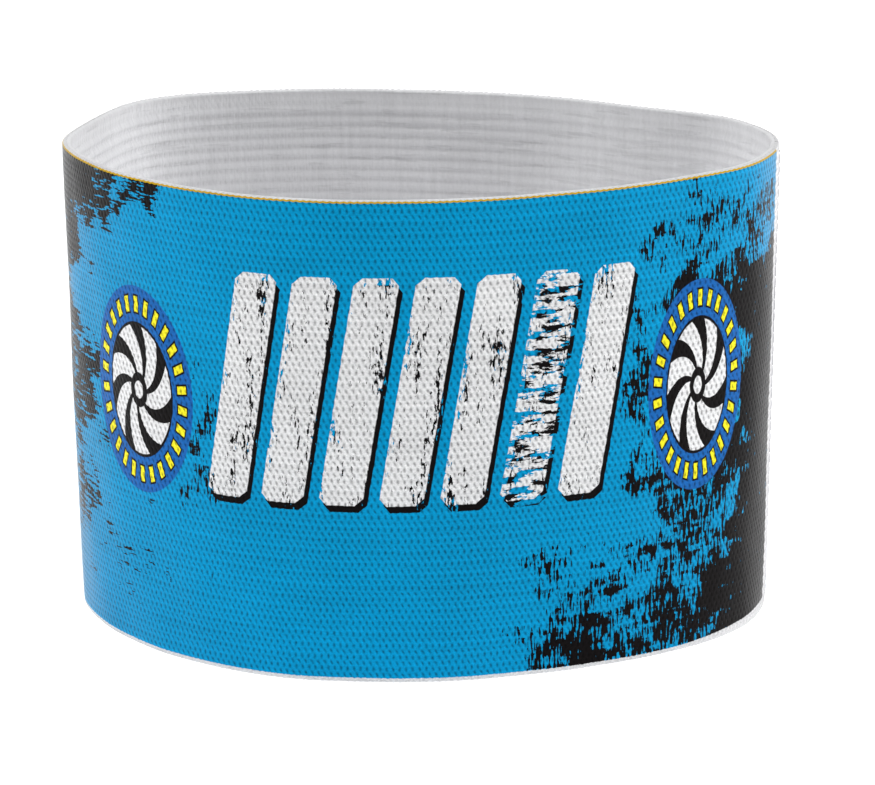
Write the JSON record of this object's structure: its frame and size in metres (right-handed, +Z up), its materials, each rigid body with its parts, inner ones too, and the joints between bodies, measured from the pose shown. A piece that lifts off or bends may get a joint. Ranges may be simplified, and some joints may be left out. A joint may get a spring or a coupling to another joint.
{
  "type": "captain armband",
  "caption": "Wide loop of knitted elastic worn round the upper arm, printed outside, plain and ribbed inside, standing on its lower selvage.",
  "frame": {"origin": "on the surface the loop stands on, under the middle of its outline", "axes": "+Z up through the arm hollow, +X along the loop's longer width, -Y towards the printed front"},
  "size_m": [0.0958, 0.068, 0.065],
  "materials": {
    "printed_elastic": "knitted polyester elastic, printed blue and black outside, plain white inside"
  },
  "bodies": {
    "root": {"elastic_band": "printed_elastic"}
  },
  "joints": []
}
